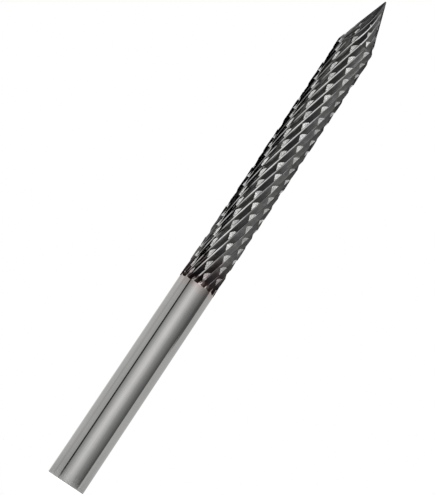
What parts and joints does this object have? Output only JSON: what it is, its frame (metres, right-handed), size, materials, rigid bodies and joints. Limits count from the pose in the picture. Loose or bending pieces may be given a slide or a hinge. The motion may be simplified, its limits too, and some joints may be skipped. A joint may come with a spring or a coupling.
{
  "type": "tire repair carbide cutter",
  "caption": "Straight-shank rotary cutter with a double-cut carbide head and a conical point, for reaming a puncture channel in a tire.",
  "frame": {"origin": "centre of the shank's flat end, on the tool's axis", "axes": "+Z runs along the tool from the shank's end to the point; X and Y are square to it, and the picture looks along +Y"},
  "size_m": [0.006, 0.006, 0.0893],
  "materials": {
    "ground_steel": "bright ground",
    "carbide": "dark ground carbide with bright cut facets"
  },
  "bodies": {
    "root": {"shank": "ground_steel", "cutting_head": "carbide"}
  },
  "joints": []
}
